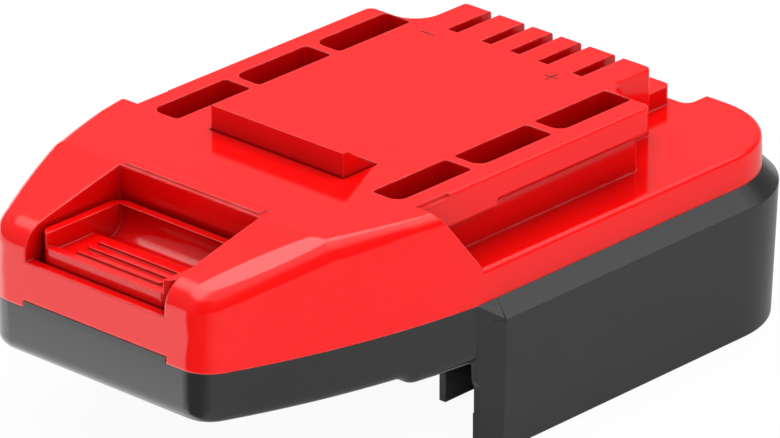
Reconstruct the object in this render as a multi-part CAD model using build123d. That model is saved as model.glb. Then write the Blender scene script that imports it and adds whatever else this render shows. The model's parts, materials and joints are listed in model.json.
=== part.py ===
"""Tool battery adapter: a red top that a power tool slides onto, and a black foot that takes a slide pack.

The adapter lies along y with its release button at the front, which is -y, and its terminals at the rear.
Places along it are told as a distance behind the front face, and heights as a depth below the deck.
The origin is the centre of the bounding box, at the lower edge of the skirts.
"""
from build123d import *
import math
import os

# Overall size
overall_length = 131.1
skirt_half_width = 39.7
deck_height = 43.7

# Outline of the body at the seam between the shells
body_half_width = 36.9
nose_half_width = 19.1
nose_side_x = 24.9
nose_side_back = 3.8
full_width_back = 48.7
body_length = 128.3
tail_corner_radius = 16.2
body_draft_degrees = 1.5

# Levels of the red shell, as depths below the deck
seam_depth = 17.7
shelf_depth = 12.0
sill_depth = 9.9
nose_top_depth = 5.1
nose_crown_depth = 2.2
slope_length = 21.8
shoulder_radius = 2.5
seam_step_height = 1.15
seam_step_half_width = 15.7

# Walls of both shells
shell_wall = 2.0
deck_thickness = 2.2
shelf_thickness = 1.8
thin_wall = 1.4
overrun = 5.0
running_gap = 0.35
seat_gap = 0.05

# Bright facets on the cheeks
facet_x = 23.9
facet_back = 21.5
facet_side_tilt_degrees = 11.5
facet_front_tilt_degrees = 15.5

# Thumb recess and the pad behind it
recess_half_width = 15.3
recess_back = 21.7
recess_guide_depth = 14.0
recess_rear_wall_depth = 11.8
pad_length = 1.9
pad_height = 0.35
pad_half_width = 14.6

# Rails that the tool grips
channel_end_back = 41.2
channel_end_lean_degrees = 37.2
rail_half_width = 31.0
rail_thickness = 5.6
rail_rear_back = 97.1
rail_edge_radius = 0.6
rail_corner_radius = 1.6
rail_chamfer = 1.3
rail_chamfer_back = 60.0
web_half_width = 28.6
web_foot_radius = 5.0
shelf_edge_radius = 1.0

# Pockets that core out the rails
pocket_inner_x = 21.3
pocket_outer_x = 27.1
pocket_first_back = 40.95
pocket_length = 17.3
pocket_web = 1.85
pocket_count = 3
pocket_corner_radius = 0.8
pocket_front_radius = 2.2

# Terminal block with five slots open to the rear
terminal_half_width = 20.5
terminal_rear_back = 109.1
terminal_edge_radius = 1.0
slot_front_back = 98.3
slot_width = 2.24
inner_slot_pitch = 6.26
outer_slot_x = 13.66
tail_block_half_width = 14.2
tail_block_depth = 8.8
tail_block_back = 121.4
tail_block_radius = 1.5
notch_half_width = 16.8
notch_back = 122.5
notch_radius = 1.8

# Latch: scoop button, slide and hook
hook_half_width = 14.4
hook_front_back = 41.8
hook_rear_back = 49.3
hook_height = 4.2
hook_tip_length = 1.0
hook_shoulder = 1.8
hook_shoulder_height = 3.0
button_half_width = 14.5
button_front_gap = 0.35
button_rear_gap = 1.1
button_wall = 1.7
button_rim_depth = 5.1
button_lip_depth = 7.4
button_lip_length = 3.0
button_hollow_depth = 10.2
button_base_depth = 12.4
button_corner_radius = 2.6
grip_rib_count = 3
grip_rib_back = 6.1
grip_rib_pitch = 2.4
grip_rib_half_length = 9.2
grip_rib_radius = 0.55
slide_half_width = 12.0
slide_thickness = 2.6
slide_front_back = 6.0
latch_travel = 4.5

# Latch springs
spring_x = 8.0
spring_back = 30.0
spring_radius = 2.9
spring_wire_radius = 0.3
spring_wire_sides = 8
spring_turns = 4
spring_length = 7.9
spring_pin_radius = 1.8
spring_pin_clearance = 1.2
spring_post_radius = 4.0

# Black tray and skirts
tray_front_depth = 26.9
tray_rear_depth = 28.4
tray_step_back = 34.0
tray_step_length = 4.0
tray_edge_radius = 2.6
skirt_start_back = 49.6
skirt_flare_length = 3.9
skirt_slant_back = 46.6
skirt_slant_top_depth = 26.4
skirt_slant_foot_depth = 32.3
skirt_draft_degrees = 2.2
skirt_wall = 1.5
lip_width = 2.2
lip_top_depth = 37.1
lip_rear_back = 112.0
guide_rib_inner_x = 28.0
guide_rib_thickness = 1.3
guide_rib_rear_back = 100.0
catch_half_width = 11.5
catch_back = 57.5
catch_length = 7.0
catch_height = 4.4

# Case screws and their bosses
front_screw_x = 21.5
front_screw_back = 14.0
rear_screw_x = 27.0
rear_screw_back = 112.0
boss_radius = 3.4
screw_shank_radius = 1.3
screw_head_radius = 2.6
screw_head_height = 1.8
screw_length = 10.5
screw_sink = 1.2
screw_slot_width = 0.7
screw_slot_depth = 0.9

# Circuit board
board_half_width = 18.0
board_front_back = 68.5
board_rear_back = 117.0
board_depth = 20.0
board_thickness = 1.6
board_corner_radius = 2.0
standoff_radius = 2.8
board_screw_x = 12.0
board_screw_back = 73.0
board_screw_shank_radius = 0.9
board_screw_head_radius = 1.8
board_screw_head_height = 1.1
board_screw_length = 5.0

# Terminal holder and the spring clips in it
holder_front_back = 97.6
holder_length = 9.0
holder_half_width = 17.6
holder_height = 8.2
clip_length = 6.6
clip_sheet = 0.5
clip_half_width = 1.7
clip_throat = 0.35
clip_top_depth = 3.4
clip_leg_length = 2.4
clip_seat_height = 2.2

# Blades that enter the donor pack and the block that holds them
blade_outer_x = 12.0
blade_inner_x = 4.0
blade_thickness = 0.8
blade_height = 7.0
blade_front_back = 92.0
blade_tip_chamfer = 1.2
blade_tail_length = 2.6
blade_holder_half_width = 15.5
blade_holder_front_back = 103.5
blade_holder_length = 14.0
blade_holder_drop = 12.0
blade_holder_flange = 2.0
blade_holder_flange_thickness = 2.0
blade_centre_drop = 6.0
blade_tail_rise = 0.6
holder_pad_radius = 2.0
fit_gap = 0.1

# Parts on the board
power_bar_width = 5.0
power_bar_thickness = 0.8
power_bar_overlap = 1.5
capacitor_radius = 3.0
capacitor_height = 6.0
capacitor_x = 11.0
capacitor_back = 84.0
capacitor_crimp = 0.35
transistor_width = 6.5
transistor_length = 6.1
transistor_height = 2.3
transistor_pitch = 9.5
transistor_back = 84.0
transistor_tab = 1.6
resistor_length = 2.0
resistor_width = 1.25
resistor_height = 0.6
resistor_pitch = 3.0
resistor_count = 4
resistor_back = 91.0

front_y = -overall_length / 2
skirt_flare = skirt_half_width - body_half_width
slot_places = [-outer_slot_x, -inner_slot_pitch, 0, inner_slot_pitch, outer_slot_x]
up = Vector(0, 0, 1)
low = Vector(0, 0, -1)


def back(distance):
    """Return y at a distance behind the front face."""
    return front_y + distance


def down(depth):
    """Return z at a depth below the deck."""
    return deck_height - depth


def block(x_from, x_to, back_from, back_to, depth_from, depth_to):
    """Make a box between two x, two distances behind the front and two depths below the deck."""
    size = (x_to - x_from, back_to - back_from, depth_to - depth_from)
    middle = ((x_from + x_to) / 2, back((back_from + back_to) / 2), down((depth_from + depth_to) / 2))
    return Pos(*middle) * Box(*size)


def wide_block(half_width, back_from, back_to, depth_from, depth_to):
    """Make a box that is centred across the adapter."""
    return block(-half_width, half_width, back_from, back_to, depth_from, depth_to)


def peg(x, distance, radius, depth_from, depth_to):
    """Make an upright cylinder between two depths."""
    return Pos(x, back(distance), down((depth_from + depth_to) / 2)) * Cylinder(radius, depth_to - depth_from)


def both(solid):
    """Return a solid together with its mirror image across the middle plane."""
    return solid + mirror(solid, about=Plane.YZ)


def rounded_block(half_width, back_from, back_to, depth_from, depth_to, radius):
    """Make a centred box with rounded upright edges."""
    outline = RectangleRounded(2 * half_width, back_to - back_from, radius)
    placed = Pos(0, back((back_from + back_to) / 2), down(depth_to)) * outline
    return extrude(placed, amount=depth_to - depth_from, dir=up)


def side_profile(points, half_width):
    """Extrude a closed run of edges, drawn as distance and depth, across the adapter both ways."""
    face = make_face(points)
    return extrude(face, amount=half_width, both=True)


def at_side(distance, depth):
    """Return a point of the middle plane."""
    return Vector(0, back(distance), down(depth))


def plan(flare=0, full=True):
    """Return the outline of the body seen from above, widened by flare from its full width back."""
    tail = body_length - tail_corner_radius
    side = body_half_width + flare
    centre_x = body_half_width - tail_corner_radius
    reach = tail_corner_radius + flare
    share = math.sqrt(0.5)
    start = (nose_half_width, back(0))
    side_start = (nose_side_x, back(nose_side_back))
    widest = (body_half_width, back(full_width_back))
    flared = (side, back(full_width_back + (skirt_flare_length if flare else 0)))
    corner = (side, back(tail))
    corner_middle = (centre_x + share * reach, back(tail + share * reach))
    corner_end = (centre_x, back(tail + reach))
    edges = []
    if full:
        edges.append(Line((0, back(0)), start))
        nose_corner = TangentArc(start, side_start, tangent=(1, 0))
        edges.append(nose_corner)
        edges.append(TangentArc(side_start, widest, tangent=nose_corner % 1))
    else:
        edges.append(Line((0, back(full_width_back)), widest))
    if flare:
        edges.append(Line(widest, flared))
    edges.append(Line(flared, corner))
    edges.append(ThreePointArc(corner, corner_middle, corner_end))
    edges.append(Line(corner_end, (0, back(tail + reach))))
    half = Curve() + edges
    return make_face(half + mirror(half, about=Plane.YZ))


def body_block(inset=0, drop=0):
    """Make the full-height block over the plan outline, set in all round and lowered at the top."""
    outline = offset(plan(), amount=-inset, kind=Kind.ARC) if inset else plan()
    placed = Pos(0, 0, down(seam_depth)) * outline
    return extrude(placed, amount=seam_depth - drop, dir=up, taper=body_draft_degrees)


def nose_slope(drop=0):
    """Make the space above the crowned slope that runs from the deck down to the front."""
    top = at_side(slope_length, drop)
    crown = at_side(slope_length / 2, nose_crown_depth + drop)
    foot = at_side(0, nose_top_depth + drop)
    ahead = at_side(-overrun, nose_top_depth + overrun / 2 + drop)
    ahead_top = at_side(-overrun, -overrun)
    above = at_side(slope_length, -overrun)
    edges = [
        ThreePointArc(top, crown, foot),
        Line(foot, ahead),
        Line(ahead, ahead_top),
        Line(ahead_top, above),
        Line(above, top),
    ]
    return side_profile(edges, skirt_half_width + overrun)


def facet_plane(side):
    """Return the plane of the bright facet on one cheek."""
    lean_out = math.tan(math.radians(facet_side_tilt_degrees))
    lean_front = math.tan(math.radians(facet_front_tilt_degrees))
    return Plane(origin=(side * facet_x, back(facet_back), down(0)), z_dir=(side * lean_out, -lean_front, 1))


def behind_channel_end():
    """Make the space behind the leaning faces where the tool rails begin, above the shelf."""
    lean = math.tan(math.radians(channel_end_lean_degrees))
    foot = at_side(channel_end_back + lean * shelf_depth, shelf_depth)
    head = at_side(channel_end_back - lean * overrun, -overrun)
    far_head = at_side(body_length + overrun, -overrun)
    far_foot = at_side(body_length + overrun, shelf_depth)
    edges = [Line(foot, head), Line(head, far_head), Line(far_head, far_foot), Line(far_foot, foot)]
    return side_profile(edges, skirt_half_width + overrun)


def shoulder_edges(solid):
    """Find the edges where the top of the body meets its sides and front."""
    steep = [face for face in solid.faces() if abs(face.normal_at().Z) < 1 / 2]
    flat = [face for face in solid.faces() if face.normal_at().Z > 1 / 2]
    rear = solid.bounding_box().max.Y
    steep_edges = ShapeList([edge for face in steep for edge in face.edges()])
    found = ShapeList()
    for face in flat:
        for edge in face.edges():
            if edge.center().Y < rear - overrun and any(edge.is_same(other) for other in steep_edges):
                found.append(edge)
    return found


def channel_foot_back():
    """Return where the leaning end of the rail channel meets the shelf."""
    return channel_end_back + math.tan(math.radians(channel_end_lean_degrees)) * shelf_depth


def nose():
    """Make the front of the red shell: sloped cheeks with a rounded shoulder and cut facets."""
    solid = body_block() - nose_slope()
    solid = solid & wide_block(skirt_half_width, -overrun, channel_foot_back(), -overrun, seam_depth)
    solid = fillet(shoulder_edges(solid), radius=shoulder_radius)
    for side in (-1, 1):
        solid = split(solid, bisect_by=facet_plane(side), keep=Keep.BOTTOM)
    return solid - behind_channel_end()


def shelf():
    """Make the shelf behind the nose, with the round tail and the notch between its lobes."""
    outline = Pos(0, 0, down(seam_depth)) * plan()
    solid = extrude(outline, amount=seam_depth - shelf_depth, dir=up, taper=body_draft_degrees)
    solid = solid & wide_block(skirt_half_width, channel_foot_back(), body_length, 0, seam_depth)
    rim = solid.faces().sort_by(Axis.Z)[-1].edges().sort_by(Axis.Y)[1:]
    solid = fillet(rim, radius=shelf_edge_radius)
    notch_length = body_length - notch_back
    return solid - rounded_block(
        notch_half_width,
        notch_back,
        body_length + notch_length,
        shelf_depth - overrun,
        seam_depth - shell_wall,
        notch_radius,
    )


def round_corner(face, x, distance, radius):
    """Round the corners of a plan that lie at plus and minus x at a distance behind the front."""
    row = [v for v in face.vertices() if abs(v.Y - back(distance)) < seat_gap]
    corners = [v for v in row if abs(abs(v.X) - x) < seat_gap]
    return fillet(corners, radius=radius)


def deck_outline(half_width):
    """Return the plan of the rails and the terminal block, with a hollow where they meet."""
    start = full_width_back
    rails = Pos(0, back((start + rail_rear_back) / 2)) * Rectangle(2 * half_width, rail_rear_back - start)
    middle = (start + terminal_rear_back) / 2
    teeth = Pos(0, back(middle)) * Rectangle(2 * terminal_half_width, terminal_rear_back - start)
    face = round_corner(rails + teeth, terminal_half_width, rail_rear_back, web_foot_radius)
    face = round_corner(face, terminal_half_width, terminal_rear_back, terminal_edge_radius)
    return round_corner(face, half_width, rail_rear_back, rail_corner_radius)


def rails():
    """Make the two rails with their overhanging flanges, and the terminal block behind them."""
    lean = math.tan(math.radians(channel_end_lean_degrees))
    flange_plan = Pos(0, 0, down(rail_thickness)) * deck_outline(rail_half_width)
    flanges = extrude(flange_plan, amount=rail_thickness, dir=up)
    rim = flanges.faces().sort_by(Axis.Z)[-1].edges().sort_by(Axis.Y)[1:]
    flanges = fillet(rim, radius=rail_edge_radius)
    web_plan = Pos(0, 0, down(shelf_depth)) * deck_outline(web_half_width)
    web = extrude(web_plan, amount=shelf_depth - rail_thickness, dir=up)
    joined = flanges + web
    root_start = channel_end_back - lean * rail_edge_radius
    joined += wide_block(rail_half_width, root_start, full_width_back, rail_edge_radius, rail_thickness)
    joined += wide_block(rail_half_width - rail_edge_radius, root_start, full_width_back, 0, rail_edge_radius)
    joined += wide_block(web_half_width, root_start, full_width_back, rail_thickness, shelf_depth)
    return joined - both(rail_chamfers())


def rail_chamfers():
    """Make the bevel under the rear stretch of one rail, where the tool's grip starts."""
    foot = down(rail_thickness)
    edges = Polyline(
        (rail_half_width - rail_chamfer, foot),
        (rail_half_width + rail_chamfer, foot + 2 * rail_chamfer),
        (rail_half_width + rail_chamfer, foot - rail_chamfer),
        (rail_half_width - rail_chamfer, foot - rail_chamfer),
        close=True,
    )
    face = Plane.XZ * make_face(edges)
    length = rail_rear_back - rail_chamfer_back + overrun
    return Pos(0, back(rail_chamfer_back), 0) * extrude(face, amount=length, dir=Vector(0, 1, 0))


def pocket(number):
    """Make the hollow of one rail pocket, counted from the front."""
    start = pocket_first_back + number * (pocket_length + pocket_web)
    width = pocket_outer_x - pocket_inner_x
    centre = (pocket_inner_x + width / 2, back(start + pocket_length / 2))
    face = Pos(*centre) * Rectangle(width, pocket_length)
    others = [v for v in face.vertices() if v.X < centre[0] or v.Y > centre[1]]
    face = fillet(others, radius=pocket_corner_radius)
    front_outer = face.vertices().sort_by(lambda v: (v.X - centre[0]) - (v.Y - centre[1]))[-1:]
    face = fillet(front_outer, radius=pocket_front_radius)
    return extrude(Pos(0, 0, down(shelf_depth)) * face, amount=shelf_depth + overrun, dir=up)


def upper_hollow():
    """Make the space inside the red shell: under the cheeks, between the rails and under the shelf."""
    outer_wall = pocket_first_back - thin_wall
    inner_half_width = pocket_inner_x - thin_wall
    teeth_half_width = terminal_half_width - shell_wall
    under_nose = body_block(shell_wall, deck_thickness) - nose_slope(deck_thickness)
    under_nose = under_nose & wide_block(skirt_half_width, 0, outer_wall, 0, seam_depth)
    middle_start = outer_wall - overrun
    middle_end = rail_rear_back - shell_wall
    middle = wide_block(inner_half_width, middle_start, middle_end, deck_thickness, seam_depth)
    rear_wall = terminal_rear_back - shell_wall
    teeth_start = rail_rear_back - overrun
    under_teeth = wide_block(teeth_half_width, teeth_start, rear_wall, deck_thickness, seam_depth)
    under_shelf = body_block(shell_wall, shelf_depth + shelf_thickness)
    ledge = notch_back - thin_wall
    under_shelf = under_shelf & wide_block(skirt_half_width, outer_wall, body_length, shelf_depth, seam_depth)
    under_shelf -= wide_block(notch_half_width + thin_wall, ledge, body_length, shelf_depth, seam_depth)
    under_tail = wide_block(
        tail_block_half_width - shell_wall,
        terminal_rear_back,
        tail_block_back - shell_wall,
        tail_block_depth + shelf_thickness,
        seam_depth,
    )
    return under_nose + middle + under_teeth + under_shelf + under_tail


def recess_hollow():
    """Make the thumb recess: open above the sill at the front, and through to the latch behind it."""
    above_sill = wide_block(recess_half_width, -overrun, recess_back, -overrun, sill_depth)
    through = wide_block(recess_half_width, shell_wall, recess_back, -overrun, seam_depth)
    return above_sill + through


def recess_guides(outer):
    """Make the walls that hang around the thumb recess, trimmed to the outside of the nose."""
    frame_half_width = recess_half_width + thin_wall
    frame = wide_block(frame_half_width, 0, recess_back + thin_wall, -overrun, recess_guide_depth)
    open_foot = wide_block(
        recess_half_width,
        recess_back,
        recess_back + thin_wall,
        recess_rear_wall_depth,
        recess_guide_depth,
    )
    return (frame & outer) - open_foot


def screw_places():
    """List the x, the distance behind the front and the depth of the head's seat of each case screw."""
    front_seat = tray_front_depth - screw_head_height - screw_sink
    rear_seat = tray_rear_depth - screw_head_height - screw_sink
    places = []
    for side in (-1, 1):
        places.append((side * front_screw_x, front_screw_back, front_seat))
        places.append((side * rear_screw_x, rear_screw_back, rear_seat))
    return places


def upper_shell():
    """Make the red shell."""
    front = nose()
    tail_block = rounded_block(
        tail_block_half_width,
        terminal_rear_back - overrun,
        tail_block_back,
        tail_block_depth,
        shelf_depth,
        tail_block_radius,
    )
    solid = front + shelf() + rails() + tail_block
    solid -= upper_hollow()
    solid += recess_guides(front)
    for x, distance, seat in screw_places():
        head = deck_thickness if distance < recess_back else shelf_depth + shelf_thickness / 2
        solid += peg(x, distance, boss_radius, head, seam_depth) & (front + shelf())
    solid -= recess_hollow()
    for x, distance, seat in screw_places():
        hole_top = seat - screw_length - 2 * seat_gap
        solid -= peg(x, distance, screw_shank_radius + seat_gap, hole_top, seam_depth + overrun)
    for number in range(pocket_count):
        solid -= both(pocket(number))
    for x in slot_places:
        solid -= block(
            x - slot_width / 2,
            x + slot_width / 2,
            slot_front_back,
            terminal_rear_back + overrun,
            -overrun,
            tail_block_depth,
        )
    solid -= wide_block(
        hook_half_width + running_gap,
        hook_front_back - running_gap,
        hook_rear_back + running_gap,
        -overrun,
        deck_thickness + seat_gap,
    )
    step_top = seam_depth - seam_step_height - seat_gap
    solid -= wide_block(seam_step_half_width, -overrun, shell_wall, step_top, seam_depth)
    pad_start = recess_back + seam_step_height / 2
    return solid + wide_block(pad_half_width, pad_start, pad_start + pad_length, -pad_height, seat_gap)


def tray():
    """Make the tray that closes the body from below, with a soft step down in its bottom."""
    outline = Pos(0, 0, down(seam_depth)) * plan()
    solid = extrude(outline, amount=tray_rear_depth - seam_depth, dir=low, taper=body_draft_degrees)
    step_end = tray_step_back + tray_step_length
    step_start = at_side(tray_step_back, tray_front_depth)
    step_foot = at_side(step_end, tray_rear_depth)
    step_middle = (step_start + step_foot) / 2
    ahead = at_side(-overrun, tray_front_depth)
    below_ahead = at_side(-overrun, tray_rear_depth + overrun)
    below = at_side(step_end, tray_rear_depth + overrun)
    edges = [
        Line(ahead, step_start),
        TangentArc(step_start, step_middle, tangent=(0, 1, 0)),
        TangentArc(step_foot, step_middle, tangent=(0, -1, 0)),
        Line(step_foot, below),
        Line(below, below_ahead),
        Line(below_ahead, ahead),
    ]
    return solid - side_profile(edges, skirt_half_width + overrun)


def tray_bottom_edges(solid):
    """Find the edges around the bottom of the tray ahead of the skirts."""
    flat = [face for face in solid.faces() if face.normal_at().Z < -1 / 2]
    steep = [face for face in solid.faces() if abs(face.normal_at().Z) < 1 / 2]
    steep_edges = ShapeList([edge for face in steep for edge in face.edges()])
    rear = solid.bounding_box().max.Y
    found = ShapeList()
    for face in flat:
        for edge in face.edges():
            if edge.center().Y < rear - overrun / 2 and any(edge.is_same(other) for other in steep_edges):
                found.append(edge)
    return found


def skirt_block(inset=0):
    """Make the widened rear of the foot: a bevelled band on top and drafted sides below it."""
    bevel_foot = seam_depth + skirt_flare
    outline = plan(skirt_flare, full=False)
    if inset:
        outline = offset(outline, amount=-inset, kind=Kind.ARC)
    placed = Pos(0, 0, down(bevel_foot)) * outline
    sides = extrude(placed, amount=deck_height - bevel_foot, dir=low, taper=skirt_draft_degrees)
    if inset:
        return sides
    return sides + extrude(placed, amount=skirt_flare, dir=up, taper=math.degrees(math.atan(1)))


def ahead_of_skirt():
    """Make the space ahead of the slanted front edge of the skirts."""
    points = [
        at_side(skirt_start_back, deck_height + overrun),
        at_side(skirt_start_back, skirt_slant_foot_depth),
        at_side(skirt_slant_back, skirt_slant_top_depth),
        at_side(skirt_slant_back, -overrun),
        at_side(-overrun, -overrun),
        at_side(-overrun, deck_height + overrun),
    ]
    return side_profile(Polyline(*points, close=True), skirt_half_width + overrun)


def pack_space():
    """Make the space between the skirts where the donor pack slides in from the front."""
    space = skirt_block(skirt_wall) & wide_block(
        skirt_half_width,
        0,
        overall_length,
        tray_rear_depth,
        deck_height + overrun,
    )
    mouth = body_half_width - skirt_wall
    return space + wide_block(mouth, 0, full_width_back + overrun, tray_rear_depth, deck_height + overrun)


def bay():
    """Make the space inside the foot, above its floor, where the board and the latch springs are."""
    outline = offset(plan(), amount=-shell_wall, kind=Kind.ARC)
    placed = Pos(0, 0, down(seam_depth)) * outline
    depth = tray_rear_depth - shell_wall - seam_depth
    solid = extrude(placed, amount=depth, dir=low, taper=body_draft_degrees)
    step_end = tray_step_back + tray_step_length
    return solid - wide_block(
        skirt_half_width,
        0,
        step_end,
        tray_front_depth - shell_wall,
        tray_rear_depth,
    )


def blade_opening():
    """Make the opening in the floor that the blade holder hangs through."""
    rear = blade_holder_front_back + blade_holder_length
    return wide_block(
        blade_holder_half_width + seat_gap,
        blade_holder_front_back - seat_gap,
        rear + seat_gap,
        tray_rear_depth - shell_wall - overrun / 2,
        tray_rear_depth + overrun / 2,
    )


def lower_shell():
    """Make the black shell: tray, skirts, inward lips, guide ribs and the posts inside."""
    join_back = full_width_back + overrun
    front = tray() & wide_block(skirt_half_width, 0, join_back, seam_depth, deck_height)
    front = fillet(tray_bottom_edges(front), radius=tray_edge_radius)
    rear = tray() & wide_block(skirt_half_width, join_back, body_length, seam_depth, deck_height)
    skirts = skirt_block() - ahead_of_skirt()
    solid = front + rear + (skirts - pack_space())
    lip_inner_x = body_half_width - lip_width + skirt_wall / 3
    lip = block(lip_inner_x, skirt_half_width, skirt_start_back, lip_rear_back, lip_top_depth, deck_height)
    solid += both(lip & skirts)
    solid += both(
        block(
            guide_rib_inner_x,
            guide_rib_inner_x + guide_rib_thickness,
            skirt_start_back,
            guide_rib_rear_back,
            tray_rear_depth - shell_wall / 2,
            lip_top_depth,
        )
    )
    inside = bay()
    for x, distance, seat in screw_places():
        inside -= peg(x, distance, boss_radius, seam_depth, deck_height)
    inside -= wide_block(
        catch_half_width + thin_wall,
        catch_back - thin_wall,
        catch_back + catch_length + thin_wall,
        tray_rear_depth - catch_height - thin_wall,
        tray_rear_depth,
    )
    floor = tray_rear_depth - shell_wall
    front_floor = tray_front_depth - shell_wall
    post_top = slide_foot_depth() + spring_length
    pin_top = slide_foot_depth() + latch_travel + spring_pin_clearance
    standoff_top = board_depth + board_thickness
    for side in (-1, 1):
        inside -= peg(side * spring_x, spring_back, spring_post_radius, post_top, front_floor)
        inside -= peg(side * spring_x, spring_back, spring_pin_radius, pin_top, front_floor)
        inside -= peg(side * board_screw_x, board_screw_back, standoff_radius, standoff_top, floor)
    solid -= inside
    solid -= blade_opening()
    solid -= wide_block(
        catch_half_width,
        catch_back,
        catch_back + catch_length,
        tray_rear_depth - catch_height,
        tray_rear_depth + overrun,
    )
    for side in (-1, 1):
        solid -= peg(
            side * board_screw_x,
            board_screw_back,
            board_screw_shank_radius + seat_gap,
            board_depth,
            board_depth + board_screw_length + seat_gap,
        )
    for x, distance, seat in screw_places():
        solid -= peg(x, distance, screw_shank_radius + seat_gap, seam_depth - overrun, seat + overrun)
        solid -= peg(x, distance, screw_head_radius + 2 * seat_gap, seat, deck_height)
    step_top = seam_depth - seam_step_height
    return solid + wide_block(
        seam_step_half_width - 2 * seat_gap,
        0,
        shell_wall - 2 * seat_gap,
        step_top,
        seam_depth + seat_gap,
    )


def slide_foot_depth():
    """Return the depth of the underside of the latch slide at rest."""
    return button_base_depth + slide_thickness


def release_button():
    """Make the scoop that the thumb presses: side walls, a hollow floor and three grip ribs."""
    front = shell_wall + button_front_gap
    rear = recess_back - button_rear_gap
    solid = rounded_block(
        button_half_width,
        front,
        rear,
        button_rim_depth,
        button_base_depth,
        button_corner_radius,
    )
    ahead = front - overrun
    lip_end = front + button_lip_length / 2
    ribs_front = front + button_lip_length
    ribs_rear = grip_rib_back + grip_rib_count * grip_rib_pitch
    rib_floor = button_lip_depth + (button_hollow_depth - button_lip_depth) / 3
    hollow_back = (ribs_rear + rear) / 2
    rear_wall = rear - button_wall
    edges = [
        Line(at_side(ahead, button_lip_depth), at_side(lip_end, button_lip_depth)),
        Line(at_side(lip_end, button_lip_depth), at_side(ribs_front, rib_floor)),
        Line(at_side(ribs_front, rib_floor), at_side(ribs_rear, rib_floor)),
        ThreePointArc(
            at_side(ribs_rear, rib_floor),
            at_side(hollow_back, button_hollow_depth),
            at_side(rear_wall, button_rim_depth),
        ),
        Line(at_side(rear_wall, button_rim_depth), at_side(rear_wall, -overrun)),
        Line(at_side(rear_wall, -overrun), at_side(ahead, -overrun)),
        Line(at_side(ahead, -overrun), at_side(ahead, button_lip_depth)),
    ]
    solid -= side_profile(edges, button_half_width - button_wall)
    for number in range(grip_rib_count):
        rib = SlotOverall(2 * grip_rib_half_length, 2 * grip_rib_radius)
        place = Pos(0, back(grip_rib_back + number * grip_rib_pitch), down(rib_floor + seat_gap))
        solid += extrude(place * rib, amount=grip_rib_radius, dir=up)
    peg_x = slide_half_width / 2
    pin = peg(peg_x, slide_peg_back(), pin_radius(), button_base_depth - seat_gap, slide_foot_depth())
    return solid + both(pin)


def slide_peg_back():
    """Return how far back the two pegs of the button go through the slide."""
    return slide_front_back + button_lip_length * 2


def pin_radius():
    """Return the radius of the pegs that join the button to the slide."""
    return spring_pin_radius - spring_wire_radius


def latch_slide():
    """Make the plate under the deck that carries the hook up through the deck."""
    top = button_base_depth
    foot = slide_foot_depth()
    solid = wide_block(slide_half_width, slide_front_back, hook_rear_back, top, foot)
    head_foot = deck_thickness + hook_shoulder_height
    points = [
        at_side(hook_front_back, -hook_height),
        at_side(hook_front_back + hook_tip_length, -hook_height),
        at_side(hook_rear_back, 0),
        at_side(hook_rear_back, head_foot),
        at_side(hook_front_back, head_foot),
    ]
    solid += side_profile(Polyline(*points, close=True), hook_half_width)
    inner = hook_shoulder_height / 2
    solid += wide_block(
        hook_half_width + hook_shoulder,
        hook_front_back + inner,
        hook_rear_back - inner,
        deck_thickness + seat_gap,
        head_foot,
    )
    rib_half = slide_thickness / 2
    rib_top = head_foot - seat_gap
    rib_foot = top + seat_gap
    for x in (-slide_half_width + rib_half, 0, slide_half_width - rib_half):
        solid += block(x - rib_half, x + rib_half, hook_front_back, hook_rear_back, rib_top, rib_foot)
    wall_end = hook_front_back + rib_half
    solid += wide_block(slide_half_width, hook_front_back, wall_end, rib_top, rib_foot)
    hole = peg(slide_half_width / 2, slide_peg_back(), pin_radius() + seat_gap, 0, foot + overrun)
    return solid - both(hole)


def latch_spring(side):
    """Make one coil spring of half turns, between the post on the floor and the underside of the slide."""
    low_end = down(slide_foot_depth() + spring_length) + spring_wire_radius + seat_gap
    height = spring_length - 2 * (spring_wire_radius + seat_gap)
    half_turns = 2 * spring_turns
    rise = height / half_turns
    arcs = []
    for number in range(half_turns):
        way = 1 if number % 2 == 0 else -1
        start = Vector(way * spring_radius, 0, number * rise)
        crest = Vector(0, way * spring_radius, (number + 1 / 2) * rise)
        end = Vector(-way * spring_radius, 0, (number + 1) * rise)
        arcs.append(ThreePointArc(start, crest, end))
    path = Wire(arcs)
    wire = Plane(origin=path @ 0, z_dir=path % 0) * RegularPolygon(spring_wire_radius, spring_wire_sides)
    return Pos(side * spring_x, back(spring_back), low_end) * sweep(wire, path=path)


def board_opening(x, distance, length, thickness):
    """Make the slot in the board, or in a bar, that a flat leg goes through."""
    half = thickness / 2 + fit_gap
    return block(
        x - half,
        x + half,
        distance - fit_gap,
        distance + length + fit_gap,
        clip_top_depth,
        tray_rear_depth,
    )


def clip_leg_back():
    """Return how far behind the front the leg of each clip starts."""
    return holder_front_back + (holder_length - clip_leg_length) / 2


def blade_tail_back():
    """Return how far behind the front the tail of each blade starts."""
    return holder_front_back + holder_length + 2 * fit_gap + seat_gap


def all_leg_openings():
    """Make the openings for every clip leg and blade tail."""
    openings = []
    for x in slot_places:
        openings.append(board_opening(x, clip_leg_back(), clip_leg_length, blade_thickness))
    for x in (-blade_outer_x, -blade_inner_x, blade_inner_x, blade_outer_x):
        openings.append(board_opening(x, blade_tail_back(), blade_tail_length, blade_thickness))
    return openings


def circuit_board():
    """Make the board, with holes for its screws and slots for the legs soldered into it."""
    solid = rounded_block(
        board_half_width,
        board_front_back,
        board_rear_back,
        board_depth,
        board_depth + board_thickness,
        board_corner_radius,
    )
    for side in (-1, 1):
        solid -= peg(
            side * board_screw_x,
            board_screw_back,
            board_screw_shank_radius + fit_gap,
            board_depth - overrun,
            board_depth + overrun,
        )
    for opening in all_leg_openings():
        solid -= opening
    return solid


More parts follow.
